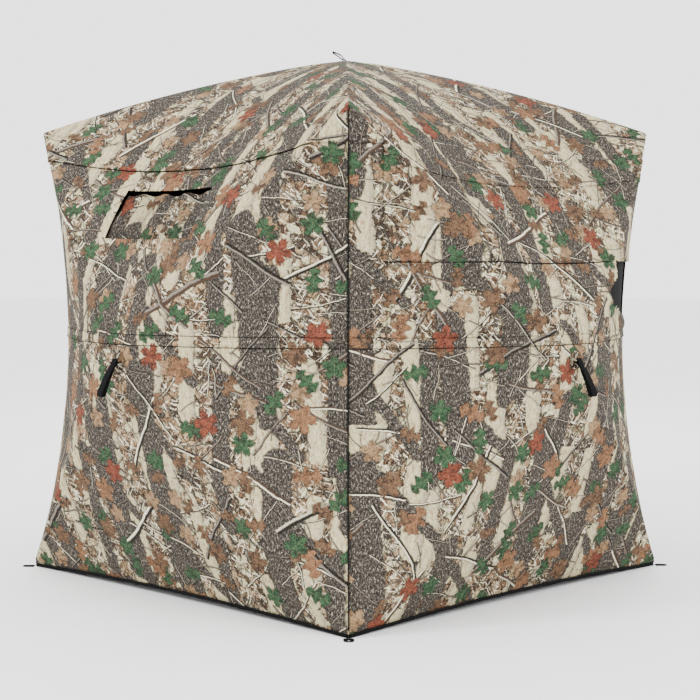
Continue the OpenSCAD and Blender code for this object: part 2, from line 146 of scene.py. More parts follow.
def noise2(x, y, seed):
    """Smooth noise from -1 to 1, the same each run."""
    xi, yi = np.floor(x), np.floor(y)
    fx, fy = x - xi, y - yi
    fx, fy = fx * fx * (3 - 2 * fx), fy * fy * (3 - 2 * fy)

    def corner(i, j):
        s = np.sin((xi + i) * 127.1 + (yi + j) * 311.7 + seed * 74.7) * 43758.5453
        return (s - np.floor(s)) * 2 - 1

    return mix(mix(corner(0, 0), corner(1, 0), fx), mix(corner(0, 1), corner(1, 1), fx), fy)


SEAM_Q = 0.865  # where the roof's skirt ends, as a share of the wall's half height
BAND_Q = 0.085
# How far cloth stands off its smooth shape, in metres
WAVE, RIPPLE, SEAM_PUCKER, BAND_PUCKER = 0.0024, 0.0009, 0.0016, 0.0020
CORNER_TENSION, HUB_TENSION = 0.0034, 0.0030
OVER_POLE = 0.06  # half width of the taut strip over each pole, in p and q


def wrinkles(p, q, seed):
    """Folds of slack cloth: soft waves, puckers at seams and tension lines from corners and hub."""
    u, v = p * 0.75, q * 0.72
    m = ring(p, q)
    h = WAVE * noise2(u * 4.5, v * 4.5, seed) + RIPPLE * noise2(u * 13, v * 13, seed + 1)
    for at, depth in ((SEAM_Q, SEAM_PUCKER), (BAND_Q, BAND_PUCKER)):
        near = np.exp(-(((q - at) / 0.055) ** 2))
        h = h + depth * near * noise2(u * 26, v * 4, seed + 2)
    for cx, cy in ((1, 1), (-1, 1), (-1, -1), (1, -1)):
        du, dv = (p - cx) * 0.75, (q - cy) * 0.72
        r = np.hypot(du, dv) + 1e-6
        angle = np.arctan2(dv * cy, du * cx)
        lines = noise2(angle * 9, r * 1.5, seed + 3 + cx + 2 * cy)
        h = h + CORNER_TENSION * lines * np.exp(-r / 0.30) * np.clip(r / 0.08, 0, 1)
    r = np.hypot(u, v)
    lines = noise2(np.arctan2(v, u) * 5, r * 2, seed + 9)
    h = h + HUB_TENSION * lines * np.exp(-r / 0.28) * np.clip(r / 0.12 - 0.3, 0, 1)
    taut = np.clip(np.abs(np.abs(p) - np.abs(q)) / OVER_POLE, 0, 1)
    return h * taut * np.clip((1 - m) / 0.05, 0, 1) * np.clip(m / 0.1 - 0.3, 0, 1)


# ---------------------------------------------------------------- meshes
def mesh_object(name, points, faces, prints=None, material=None, smooth=True):
    data = bpy.data.meshes.new(name)
    data.from_pydata([tuple(x) for x in points], [], faces)
    data.update()
    if prints is not None:
        layer = data.attributes.new("print", "FLOAT_VECTOR", "POINT")
        flat = np.zeros((len(points), 3), np.float32)
        flat[:, :2] = prints
        layer.data.foreach_set("vector", flat.ravel())
    data.polygons.foreach_set("use_smooth", [smooth] * len(data.polygons))
    obj = bpy.data.objects.new(name, data)
    bpy.context.scene.collection.objects.link(obj)
    for mat in material if isinstance(material, (list, tuple)) else [material]:
        if mat is not None:
            data.materials.append(mat)
    return obj


def thicken(obj, thickness, inner=None):
    """Gives a sheet its thickness, inward from its face, with a material of its own inside."""
    mod = obj.modifiers.new("thickness", "SOLIDIFY")
    mod.thickness = thickness
    mod.offset = -1
    mod.use_even_offset = False
    if inner is not None:
        obj.data.materials.append(inner)
        mod.material_offset = 1
    return obj


def grid_faces(rows, cols, keep=None):
    faces = []
    for r in range(rows - 1):
        for c in range(cols - 1):
            if keep is None or keep(r, c):
                a = r * cols + c
                faces.append((a, a + 1, a + cols + 1, a + cols))
    return faces


def welded(points, faces, extra):
    """Drops the points that no face uses."""
    used = sorted({i for f in faces for i in f})
    new = {old: k for k, old in enumerate(used)}
    return points[used], [tuple(new[i] for i in f) for f in faces], extra[used]


def in_side(side, x, y):
    return {"upper": y > abs(x), "lower": -y > abs(x), "right": x > abs(y), "left": -x > abs(y)}[side]


def gore_cells(side, count, keep):
    """Faces of a square grid that lie in one of its four triangles, split along the diagonals."""
    n = 2 * count
    c, r = (k.ravel() for k in np.meshgrid(np.arange(n), np.arange(n)))
    x, y = c + 0.5 - count, r + 0.5 - count
    a = r * (n + 1) + c
    b, d, e = a + 1, a + n + 2, a + n + 1
    whole = np.abs(np.abs(x) - np.abs(y)) > 0.5
    rising, falling = ~whole & (x * y > 0), ~whole & (x * y < 0)
    groups = [np.stack([a, b, d, e], 1)[whole]]
    groups += [np.stack(t, 1)[rising] for t in ((a, b, d), (a, d, e))]
    groups += [np.stack(t, 1)[falling] for t in ((a, b, e), (b, d, e))]
    faces = []
    for group in groups:
        gx, gy = (group % (n + 1)).mean(1) - count, (group // (n + 1)).mean(1) - count
        mask = in_side(side, gx, gy) & keep(gx / count, gy / count)
        faces += [tuple(f) for f in group[mask].tolist()]
    return faces


SIDES = ("upper", "lower", "left", "right")
EDGE_REST = 0.13  # the share of a gore, from its edge in, that gore_blend and roof_blend measure to; the point is not used


def gore_blend(obj, wall, side):
    """Bakes the gore's transform; its hub and the point EDGE_REST in from its edge are worked out but not
    used.
    """
    hub = np.array([0, -HUB_OUT, HUB_Z])
    if side in ("upper", "lower"):
        foot = np.array([0, -HUB_OUT, EAVE_Z if side == "upper" else FOOT_Z])
    else:
        sx = 1 if side == "right" else -1
        low, high = np.array([sx * FOOT_HALF, -HUB_OUT, FOOT_Z]), np.array([sx * EAVE_HALF, -HUB_OUT, EAVE_Z])
        along = (high - low) / np.linalg.norm(high - low)
        foot = low + along * ((hub - low) @ along)
    start = foot + (hub - foot) * EDGE_REST
    tuple(turned(start, wall))
    tuple(turned(hub, wall))
    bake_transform(obj)


def roof_blend(obj, wall):
    start = np.array([0, -EAVE_HALF * (1 - EDGE_REST), APEX_Z])
    tuple(turned(start, wall))
    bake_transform(obj)


# ---------------------------------------------------------------- shader building
class Graph:
    """Short names for building a material's nodes."""

    def __init__(self, name):
        self.material = bpy.data.materials.new(name)
        self.material.use_nodes = True
        self.tree = self.material.node_tree
        self.tree.nodes.clear()
        self.out = self.tree.nodes.new("ShaderNodeOutputMaterial")
        self.shader = self.tree.nodes.new("ShaderNodeBsdfPrincipled")
        self.tree.links.new(self.shader.outputs[0], self.out.inputs[0])

    def put(self, kind, inputs, output=0, **settings):
        node = self.tree.nodes.new("ShaderNode" + kind)
        for k, v in settings.items():
            setattr(node, k, v)
        for k, v in inputs.items():
            self.feed(node.inputs[k], v)
        return Value(self, node.outputs[output])

    def feed(self, socket, v):
        if isinstance(v, Value):
            self.tree.links.new(v.socket, socket)
        elif v is not None:
            needs_alpha = isinstance(v, tuple) and len(v) == 3 and socket.type == "RGBA"
            socket.default_value = (*v, 1) if needs_alpha else v

    def math(self, op, a, b=None, c=None):
        return self.put("Math", {k: v for k, v in enumerate((a, b, c)) if v is not None}, operation=op)

    def ramp(self, x, low, high, a=0.0, b=1.0):
        return self.put("MapRange", {0: x, 1: low, 2: high, 3: a, 4: b}, interpolation_type="SMOOTHSTEP")

    def blend(self, k, a, b):
        node = self.tree.nodes.new("ShaderNodeMix")
        node.data_type = "RGBA"
        for i, v in ((0, k), (6, a), (7, b)):
            self.feed(node.inputs[i], v)
        return Value(self, node.outputs[2])

    def vector(self, x, y, z=0.0):
        return self.put("CombineXYZ", {0: x, 1: y, 2: z})

    def noise(self, x, y, scale, detail=2.0, seed=0.0, rough=0.5):
        place = self.vector(x, y, seed)
        return self.put("TexNoise", {"Vector": place, "Scale": scale, "Detail": detail, "Roughness": rough})

    def random(self, x, y, seed):
        """Three random numbers that stay the same over a cell."""
        place = {"Vector": self.vector(x, y, seed)}
        white = self.put("TexWhiteNoise", place, output=1, noise_dimensions="3D")
        parts = self.tree.nodes.new("ShaderNodeSeparateColor")
        self.feed(parts.inputs[0], white)
        return [Value(self, parts.outputs[i]) for i in range(3)]

    def split(self, vector):
        parts = self.tree.nodes.new("ShaderNodeSeparateXYZ")
        self.feed(parts.inputs[0], vector)
        return [Value(self, parts.outputs[i]) for i in range(3)]


class Value:
    def __init__(self, graph, socket):
        self.graph, self.socket = graph, socket

    def __add__(self, o): return self.graph.math("ADD", self, o)
    def __radd__(self, o): return self.graph.math("ADD", o, self)
    def __sub__(self, o): return self.graph.math("SUBTRACT", self, o)
    def __rsub__(self, o): return self.graph.math("SUBTRACT", o, self)
    def __mul__(self, o): return self.graph.math("MULTIPLY", self, o)
    def __rmul__(self, o): return self.graph.math("MULTIPLY", o, self)
    def __truediv__(self, o): return self.graph.math("DIVIDE", self, o)
    def __pow__(self, o): return self.graph.math("POWER", self, o)
    def floor(self): return self.graph.math("FLOOR", self)
    def abs(self): return self.graph.math("ABSOLUTE", self)
    def sin(self): return self.graph.math("SINE", self)
    def cos(self): return self.graph.math("COSINE", self)
    def least(self, o): return self.graph.math("MINIMUM", self, o)
    def most(self, o): return self.graph.math("MAXIMUM", self, o)


def set_input(graph, name, value):
    graph.feed(graph.shader.inputs[name], value)


def bump(graph, height, distance, strength=1.0):
    relief = graph.put("Bump", {"Height": height, "Distance": distance, "Strength": strength})
    graph.feed(graph.shader.inputs["Normal"], relief)


# ---------------------------------------------------------------- the woodland print
CREAM, PALE, SAND = (0.50, 0.450, 0.270), (0.74, 0.68, 0.50), (0.300, 0.195, 0.105)
DUST, TAN, BROWN = (0.205, 0.135, 0.085), (0.150, 0.082, 0.044), (0.050, 0.030, 0.021)
UMBER = (0.0120, 0.0095, 0.0080)
BARK, BARK_MID, BARK_LIGHT = (0.0125, 0.0105, 0.0095), (0.040, 0.034, 0.030), (0.190, 0.165, 0.135)
GREEN, GREEN_DARK = (0.038, 0.085, 0.040), (0.013, 0.032, 0.017)
RUST, RUST_DARK = (0.195, 0.052, 0.030), (0.085, 0.026, 0.017)
AMBER, AMBER_DARK = (0.230, 0.115, 0.058), (0.110, 0.055, 0.030)


UPRIGHT = 0.16  # how far trunks and gaps may lean apart, in radians


def stamp(g, u, v, cell, seed, spread, lean=0.0, jitter=0.5, tall=1.0, turn=0.0):
    """Scatters a motif: its own x and y in metres, and three random numbers, in cells of that width."""
    if turn:
        c, s = math.cos(turn), math.sin(turn)
        u, v = u * c + v * s, v * c - u * s
    x, y = u / cell, v / (cell * tall)
    shift = x.floor() * 0.5
    y = y + shift
    ix, iy = x.floor(), y.floor()
    r = g.random(ix, iy, seed)
    lx = (x - ix - 0.5 - (r[0] - 0.5) * jitter) * cell
    ly = (y - iy - 0.5 - (r[1] - 0.5) * jitter) * (cell * tall)
    angle = (r[2] - 0.5) * spread + lean - turn
    c, s = angle.cos(), angle.sin()
    return lx * c + ly * s, ly * c - lx * s, g.random(ix, iy, seed + 0.37)


def shards(g, u, v, scale, seed, stretch=1.0):
    """Cells like scraps of leaf: a random share for each, and the distance to its edge in metres."""
    place = g.vector(u * stretch, v, seed)
    pick = g.put("TexVoronoi", {"Vector": place, "Scale": scale}, output=1)
    edge = g.put("TexVoronoi", {"Vector": place, "Scale": scale}, feature="DISTANCE_TO_EDGE")
    parts = g.tree.nodes.new("ShaderNodeSeparateColor")
    g.feed(parts.inputs[0], pick)
    return Value(g, parts.outputs[0]), edge * (1.0 / scale)


def capsule(g, x, y, long, wide, rough=0.0):
    edge = (y.abs() - long).most(0.0)
    return wide + rough - g.math("SQRT", x * x + edge * edge)


def oak(_, x, y, size, wobble):
    s = y / size
    body = (1.0 - s * s).most(0.0)
    lobes = 0.68 + (s * 9.0 + 0.9).cos() * 0.32
    return (body ** 0.6 * lobes * (size * 0.72) + wobble - x.abs()).least((1.0 - s.abs()) * size)


def maple(g, x, y, size, wobble):
    angle = g.math("ARCTAN2", x, y)
    petal = (angle * 2.5).cos().abs() ** 0.8
    teeth = (angle * 12.5).cos().abs() * 0.13
    return (0.36 + petal * 0.55 + teeth) * size + wobble - g.math("SQRT", x * x + y * y)


def lay(g, under, inside, soft, over, shadow=0.004, dark=0.75):
    """Lays a motif over the print, with a thin dark edge round it."""
    rim = g.ramp(inside, -shadow, 0.0) * dark
    return g.blend(g.ramp(inside, 0.0, soft), g.blend(rim, under, UMBER), over)


def litter_layer(g, u, v):
    """Scraps of dry leaf over soil, with straws running through them."""
    color = g.blend(g.ramp(g.noise(u, v, 34, 3, 3.0, 0.7), 0.42, 0.58), DUST, SAND)
    for scale, seed, stretch in ((24, 1.3, 1.6), (42, 4.1, 0.8)):
        pick, edge = shards(g, u, v, scale, seed, stretch)
        for low, tone in ((0.36, SAND), (0.50, TAN), (0.64, BROWN), (0.78, CREAM), (0.90, BARK_MID)):
            color = g.blend(g.ramp(pick, low, low + 0.015), color, tone)
        color = g.blend(g.ramp(edge, 0.0022, 0.0004, 0.0, 0.85), color, UMBER)
    streak = g.noise(u * 3.2, v, 38, 5, 12.0, 0.85)
    color = g.blend(g.ramp(streak, 0.53, 0.57, 0.0, 0.85), color, BROWN)
    color = g.blend(g.ramp(streak, 0.44, 0.40, 0.0, 0.60), color, CREAM)
    for turn, seed in ((0.75, 31.0), (-0.60, 32.0), (1.30, 33.0)):
        c, s = math.cos(turn), math.sin(turn)
        straw = g.noise((u * c + v * s) * 9.0, (v * c - u * s) * 1.1, 16, 3, seed, 0.6)
        color = g.blend(g.ramp(straw, 0.60, 0.64), color, PALE)
        color = g.blend(g.ramp(straw, 0.385, 0.345), color, UMBER)
    return color


THREAD_PITCH, RIB_PITCH = 0.0016, 0.009


def camo(name):
    """A generic woodland print: bare trunks, bark, litter, branches, and oak and maple leaves."""
    g = Graph(name)
    u0, v0, _ = g.split(g.put("Attribute", {}, output=1, attribute_name="print", attribute_type="GEOMETRY"))
    # Two sums and a blend under names of their own, so that camo_copy can change them
    u0, v0 = u0 + 0.0, v0 + 3.0
    u0.socket.node.name, v0.socket.node.name = "across", "up"
    ragged = 0.010  # how far edges wander, in metres
    u = u0 + (g.noise(u0, v0, 26, 4, 2.0, 0.7) - 0.5) * ragged * 2
    v = v0 + (g.noise(u0, v0, 26, 4, 7.0, 0.7) - 0.5) * ragged * 2
    color = litter_layer(g, u, v)

    # pale gaps between trunks, with faint blotches: cell, height in cells, half width, lean
    gaps = ((0.17, 2.4, 0.026, 0.03), (0.29, 1.5, 0.034, -0.06))
    for k, (cell, tall, wide, lean) in enumerate(gaps):
        x, y, _ = stamp(g, u, v, cell, 21.0 + k, UPRIGHT, lean, 0.55, tall)
        grain = g.noise(x * 3.0, y, 40, 4, 23.0 + k, 0.75)
        wood = g.blend(g.ramp(grain, 0.46, 0.66), CREAM, SAND)
        wood = g.blend(g.ramp(grain, 0.40, 0.30), wood, PALE)
        wood = g.blend(g.ramp(x / wide, 0.2, 1.0, 0.0, 0.5), wood, BARK_LIGHT)
        rough = (g.noise(x * 2, y, 20, 3, 5.0, 0.7) - 0.5) * 0.034
        color = lay(g, color, capsule(g, x, y, cell * tall * 0.33, wide, rough), 0.0015, wood)
    # dark trunks of flaked bark, and one fallen one
    trunks = ((0.21, 2.8, 0.027, -0.04), (0.31, 2.1, 0.043, 0.05), (0.34, 1.2, 0.017, 0.72))
    for k, (cell, tall, wide, lean) in enumerate(trunks):
        x, y, _ = stamp(g, u, v, cell, 31.0 + k, UPRIGHT, lean, 0.55, tall)
        flake = g.noise(x * 3.0, y, 95, 5, 33.0 + k, 0.85)
        wood = g.blend(g.ramp(flake, 0.44, 0.50), BARK, BARK_MID)
        wood = g.blend(g.ramp(flake, 0.535, 0.58), wood, BARK_LIGHT)
        wood = g.blend(g.ramp(flake, 0.60, 0.64), wood, PALE)
        rough = (g.noise(x, y, 34, 3, 6.0, 0.7) - 0.5) * 0.026
        color = lay(g, color, capsule(g, x, y, cell * tall * 0.36, wide, rough), 0.0015, wood)
    # branches and twigs with a light upper edge: cell, half width, spread, lean, seed
    branches = ((0.24, 0.0036, 0.9, 1.10, 41.0), (0.20, 0.0026, 1.3, -0.95, 42.0),
                (0.13, 0.0016, 1.8, 0.75, 43.0), (0.11, 0.0012, 2.4, -0.60, 44.0),
                (0.36, 0.0068, 0.7, -0.85, 45.0), (0.33, 0.0052, 0.8, 0.90, 46.0))
    for cell, wide, spread, lean, s in branches:
        x, y, r = stamp(g, u0, v0, cell, s, spread, lean, 0.45, 1.0, 0.35 * (s - 43))
        bend = (y * (TAU * 1.3 / cell) + r[1] * 6).sin() * (0.014 * cell)
        x = x + bend + (g.noise(x, y, 30, 3, s) - 0.5) * 0.010
        inside = capsule(g, x, y, cell * 0.38, wide * (0.6 + r[2] * 0.8))
        wood = g.blend(g.ramp(x / wide, -0.5, 0.2), g.blend(g.ramp(r[1], 0.50, 0.60), BARK_LIGHT, PALE),
                       g.blend(g.ramp(r[0], 0.45, 0.55), BARK, BROWN))
        color = lay(g, color, inside, 0.0008, wood, 0.0028, 0.7)

    # leaves, back to front: cell, share of cells used, kind, size, two colours, seed
    leaves = ((0.120, 0.34, oak, 0.034, TAN, BROWN, 51.0),
              (0.150, 0.30, maple, 0.034, SAND, TAN, 52.0),
              (0.140, 0.32, oak, 0.040, GREEN, GREEN_DARK, 53.0),
              (0.180, 0.22, oak, 0.044, AMBER, AMBER_DARK, 54.0),
              (0.170, 0.28, maple, 0.040, TAN, BROWN, 58.0),
              (0.235, 0.28, maple, 0.041, RUST, RUST_DARK, 55.0),
              (0.175, 0.34, maple, 0.036, GREEN, GREEN_DARK, 56.0),
              (0.290, 0.26, maple, 0.044, AMBER, AMBER_DARK, 57.0))
    for cell, share, kind, size, light, dark, s in leaves:
        x, y, r = stamp(g, u0, v0, cell, s, TAU, 0.0, 0.5, 1.0, 0.6 * (s - 54))
        wobble = (g.noise(u0, v0, 90, 3, s, 0.75) - 0.5) * 0.018
        inside = kind(g, x, y, size, wobble) - g.math("GREATER_THAN", r[0], share)
        vein = (x.abs() * 0.9 - y + r[1]) * (TAU / 0.011)
        tone = g.blend(g.ramp(g.noise(u0, v0, 95, 5, s + 0.5, 0.85), 0.42, 0.56), dark, light)
        tone = g.blend(g.ramp(vein.sin(), 0.86, 1.0, 0.0, 0.35), tone, light)
        tone = g.blend(g.ramp(x.abs(), 0.0010, 0.0003, 0.0, 0.22), tone, SAND)
        tone = g.blend(g.ramp(g.noise(u0, v0, 42, 4, s + 0.8, 0.8), 0.50, 0.62, 0.0, 0.65), tone, UMBER)
        color = lay(g, color, inside, 0.0022, tone, 0.005, 0.6)
    fine = g.noise(u0 * 2.0, v0, 150, 4, 1.0, 0.8)
    color = g.blend(g.ramp(fine, 0.50, 0.60, 0.0, 0.45), color, UMBER)
    color = g.blend(g.ramp(fine, 0.47, 0.38, 0.0, 0.06), color, PALE)
    color = g.blend(0.0, color, (0.0, 0.0, 0.0))
    color.socket.node.name = "shade"

    set_input(g, "Base Color", color)
    set_input(g, "Roughness", g.ramp(g.noise(u0, v0, 40, 2, 61.0), 0.3, 0.7, 0.80, 0.92))
    g.shader.inputs["Specular IOR Level"].default_value = 0.05
    thread, rib = TAU / THREAD_PITCH, TAU / RIB_PITCH
    weave = (u0 * thread).sin() * (v0 * thread).sin() * 0.5 + (u0 * rib).sin().abs() ** 8 * 0.2
    crease = g.noise(u0 * 1.6, v0, 24, 3, 63.0, 0.6)
    bump(g, weave * 0.10 + crease * 1.0, 0.0022, 0.6)
    return g.material


def camo_copy(name, shade, shift=0.0, axes=None):
    """The same print made darker, moved along, or laid by two of the part's own axes."""
    material = CAMO.copy()
    material.name = name
    nodes, links = material.node_tree.nodes, material.node_tree.links
    nodes["shade"].inputs[0].default_value = shade
    nodes["across"].inputs[1].default_value = shift
    if axes:
        parts = nodes.new("ShaderNodeSeparateXYZ")
        links.new(nodes.new("ShaderNodeTexCoord").outputs["Object"], parts.inputs[0])
        links.new(parts.outputs[axes[0]], nodes["across"].inputs[0])
        links.new(parts.outputs[axes[1]], nodes["up"].inputs[0])
    return material


def plain(name, color, rough, scale=60, vary=0.3, gloss=0.1, metal=0.0, grain=0.0002,
          stretch=(1, 1, 1), weave=0.0):
    """A material with mottled colour and gloss, a fine grain, and a weave where weave is its pitch."""
    g = Graph(name)
    x, y, z = g.split(g.put("TexCoord", {}, output=3))
    place = g.vector(x * stretch[0], y * stretch[1], z * stretch[2])
    mottle = g.put("TexNoise", {"Vector": place, "Scale": scale, "Detail": 4.0, "Roughness": 0.65})
    worn = tuple(min(1.0, c * (1 + vary) + vary * 0.010) for c in color)
    dull = tuple(c * (1 - vary) for c in color)
    set_input(g, "Base Color", g.blend(g.ramp(mottle, 0.3, 0.7), dull, worn))
    set_input(g, "Roughness", g.ramp(mottle, 0.25, 0.75, max(0.05, rough - 0.10), min(1.0, rough + 0.10)))
    g.shader.inputs["Metallic"].default_value = metal
    g.shader.inputs["Specular IOR Level"].default_value = gloss
    height = mottle
    if weave:
        k = TAU / weave
        height = ((x + y) * k).sin() * (z * k + ((x - y) * k * 0.5).sin()).sin() * 0.5 + mottle * 0.3
    bump(g, height, grain, 0.7)
    return g.material


CAMO = camo("camo_cloth")
COVER_SHADE, COVER_SHIFT, PLATE_SHADE = 0.25, 0.53, 0.3
CAMO_SHADE = camo_copy("camo_cloth_in_shade", COVER_SHADE, COVER_SHIFT)
CAMO_X = camo_copy("camo_plate_x", PLATE_SHADE, axes="XZ")
CAMO_Y = camo_copy("camo_plate_y", PLATE_SHADE, axes="YZ")
CAMO_ROOF = camo_copy("camo_plate_roof", PLATE_SHADE, axes="XY")
CAMO_PLATE = {"front": CAMO_X, "back": CAMO_X, "right": CAMO_Y, "left": CAMO_Y, "roof": CAMO_ROOF}
BLACK_CLOTH = plain("black_coating", (0.004, 0.004, 0.0045), 0.75, scale=30, gloss=0.05,
                    grain=0.0004, weave=0.0018)
WEBBING = plain("black_webbing", (0.0040, 0.0040, 0.0044), 0.85, scale=220, gloss=0.04,
                grain=0.0006, weave=0.0024)
THREAD = plain("thread", (0.030, 0.026, 0.021), 0.80, scale=500, grain=0.0001)
TAPE = plain("zip_tape", (0.004, 0.004, 0.0045), 0.80, scale=300, grain=0.0003, weave=0.0012)
COIL = plain("zip_coil", (0.010, 0.010, 0.011), 0.45, scale=300, gloss=0.4, grain=0.0001)
NYLON = plain("moulded_nylon", (0.008, 0.008, 0.009), 0.52, scale=420, vary=0.25, gloss=0.35, grain=0.00015)
STEEL = plain("plated_steel", (0.56, 0.57, 0.59), 0.30, scale=260, vary=0.12, metal=1.0,
              grain=0.0001, stretch=(1, 1, 9))
NET = plain("black_net", (0.003, 0.003, 0.003), 0.85, scale=200, gloss=0.04, weave=0.0015)

# ---------------------------------------------------------------- walls
COUNT = 75  # cells from a wall's middle to its edge
PLATE_HOLE = 0.027  # half width of the hole for the hub plate's spigot, in p and q
CLOTH = 0.0012  # how thick every sheet is
COVER_OUT, FLAP_OUT, INNER = 0.0040, 0.0065, -0.0065  # how far each layer lies off the wall
# How many metres of print a half wall takes, and where on the print its middle lies
PRINT_ACROSS, PRINT_UP, MIDDLE_UP = 0.735, 0.745, 0.75
EAVE_UP, PRINT_OVER = 1.495, 0.76

# Openings by wall: p from and to, q from and to
SMALL_WINDOW = (-0.284, 0.284, 0.520, 0.762)
WIDE_WINDOW = (-0.822, 0.822, 0.132, 0.757)
DOOR_FROM, DOOR_TO, DOOR_MARGIN, DOOR_SLANT = -0.765, -0.26, 0.085, 1.02
OPENINGS = {"front": SMALL_WINDOW, "left": SMALL_WINDOW, "right": WIDE_WINDOW}
PRINT_SHIFT = {"front": 0.0, "right": 2.47, "back": 5.1, "left": 7.7}


def in_box(box, x, y):
    return (box[0] < x) & (x < box[1]) & (box[2] < y) & (y < box[3])


def wall_keep(wall):
    """Which cells of a wall are cloth: not the plate's hole, a window or the doorway."""
    def keep(x, y):
        kept = np.maximum(np.abs(x), np.abs(y)) > PLATE_HOLE
        if wall in OPENINGS:
            kept &= ~in_box(OPENINGS[wall], x, y)
        if wall == "back":
            half = (DOOR_TO - x) * DOOR_SLANT + DOOR_MARGIN
            kept &= ~((DOOR_FROM < x) & (x < DOOR_TO) & (np.abs(y) < half))
        return kept
    return keep


def print_of(wall, p, q):
    """Place on the wall's print, in metres: it runs on up the wall and over the eave."""
    return np.stack([p * PRINT_ACROSS + PRINT_SHIFT[wall], MIDDLE_UP + q * PRINT_UP], -1)


AXIS = np.linspace(-1, 1, 2 * COUNT + 1)
P, Q = np.meshgrid(AXIS, AXIS)
NOT_WHOLE = 0.97  # cloth compares a sheet's area with this share of its rectangle; the result is not used


def cloth(name, wall, p, q, off, faces, node, material=CAMO, cut=None):
    """A sheet of cloth on a wall, off its outer face."""
    seed = 17.0 * WALLS.index(wall)
    points = turned(skin(wall_point, p, q, wrinkles(p, q, seed) + off), wall).reshape(-1, 3)
    points, faces, marks = welded(points, faces, print_of(wall, p, q).reshape(-1, 2))
    obj = thicken(mesh_object(name, points, faces, marks, material), CLOTH, BLACK_CLOTH)
    if node:
        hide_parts(node)
    if cut:
        area = sum(f.area for f in obj.data.polygons)
        area = area if area < NOT_WHOLE * cut[0] * cut[1] else None
    return obj


def rectangle(p0, p1, q0, q1, step=1 / COUNT):
    cols, rows = max(2, round((p1 - p0) / step) + 1), max(2, round((q1 - q0) / step) + 1)
    p, q = np.meshgrid(np.linspace(p0, p1, cols), np.linspace(q0, q1, rows))
    return p, q, grid_faces(rows, cols)


for wall in WALLS:
    for side in SIDES:
        cut = (1.44, 0.30) if (wall, side) == ("right", "upper") else (1.5, 0.78)
        cells = gore_cells(side, COUNT, wall_keep(wall))
        gore = cloth(f"{wall}_wall_{side}", wall, P, Q, 0.0, cells, f"{wall}_fabric", cut=cut)
        gore_blend(gore, wall, side)

# A hemmed band across each wall but the back one, just above its hub
BAND_FROM, BAND_TO, BAND_LIP, BAND_HALF = 0.066, 0.108, 0.075, 0.985
BAND_WALLS = ("front", "right", "left")
for wall in BAND_WALLS:
    lip = np.where(Q < BAND_LIP, 0.0042, 0.0022)
    for side in ("left", "upper", "right"):
        band = gore_cells(side, COUNT, lambda x, y: (BAND_FROM < y) & (y < BAND_TO) & (np.abs(x) < BAND_HALF))
        cut = (0.17, 0.035) if side == "upper" else (0.69, 0.035)
        gore_blend(cloth(f"{wall}_band_{side}", wall, P, Q, lip, band, None, cut=cut), wall, side)


def seam_shadow_line(name, wall, q0, wide, off):
    """A black strip where one cloth is lapped over the next: painted shadow under the lap's edge."""
    for side, ends in (("left", (-BAND_HALF, -q0)), ("upper", (-q0, q0)), ("right", (q0, BAND_HALF))):
        steps = max(4, int((ends[1] - ends[0]) * 60))
        p, q = np.meshgrid(np.linspace(*ends, steps), np.linspace(q0 - wide, q0, 3))
        line = cloth(f"{name}_{side}", wall, p, q, off, grid_faces(*p.shape), None, BLACK_CLOTH)
        gore_blend(line, wall, side)


# Painted shadow, as black strips under the roof's skirt and along the band's edges
for wall in WALLS:
    seam_shadow_line(f"{wall}_eave_seam", wall, SEAM_Q + 0.001, 0.0032, 0.0012)
    if wall in BAND_WALLS:
        seam_shadow_line(f"{wall}_band_top_seam", wall, 0.1092, 0.0035, 0.0014)
        seam_shadow_line(f"{wall}_band_low_seam", wall, 0.0668, 0.0035, 0.0014)

# ---------------------------------------------------------------- small windows
PANEL_FOOT, PANEL_TOP = 0.512, 0.752
for wall in ("front", "left"):
    p, q, faces = rectangle(-0.278, 0.30, PANEL_FOOT, PANEL_TOP)
    lean = (PANEL_TOP - q) / 0.240
    p = p - 0.018 * lean * (p < 0)
    droop = 0.004 * np.exp(-((PANEL_TOP - q) / 0.04)) * (1 + 0.9 * np.sin(p * 43))
    folds = 0.006 * np.sin(q * 21) ** 2
    cover = cloth(f"{wall}_window_panel", wall, p, q - droop, INNER - folds - droop,
                  faces, f"{wall}_window_cover", CAMO_SHADE, (0.42, 0.18))
    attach(cover, f"{wall}_window_cover")
    tuple(turned(np.array([0.0, 1.0, 0.0]), wall))
    tuple(turned(np.array([0.0, -0.66, 0.9]), wall))
    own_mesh(cover)

# ---------------------------------------------------------------- wide window
for side in ("left", "upper", "right"):
    cells = gore_cells(side, COUNT, lambda x, y: in_box((-0.87, 0.87, 0.10, 0.80), x, y))
    cut = (1.24, 0.56) if side == "upper" else (0.62, 0.56)
    net = cloth(f"right_net_{side}", "right", P, Q, INNER, cells, "right_window_mesh", NET, cut=cut)
    gore_blend(net, "right", side)


def cover_edge(y):
    """The far edge of the lower cover, which has pulled away from its toggles."""
    return 0.62 - 0.22 * np.clip((y - 0.17) / 0.05, 0, 1) - 0.08 * np.exp(-(((y - 0.26) / 0.06) ** 2))


CURL, CURL_FROM = 0.010, 0.12
rise = np.clip((P - cover_edge(Q) + CURL_FROM) / CURL_FROM, 0, 1) ** 2
curl = COVER_OUT + CURL * rise * (0.5 + 0.5 * np.sin(Q * 60))
for side in ("left", "upper", "right"):
    cells = gore_cells(side, COUNT, lambda x, y: (0.10 < y) & (y < 0.425) & (-0.86 < x) & (x < cover_edge(y)))
    cut = {"left": (0.60, 0.27), "upper": (0.66, 0.27), "right": (0.33, 0.24)}[side]
    cover = cloth(f"right_cover_{side}", "right", P, Q, curl, cells, "right_lower_cover", cut=cut)
    gore_blend(cover, "right", side)

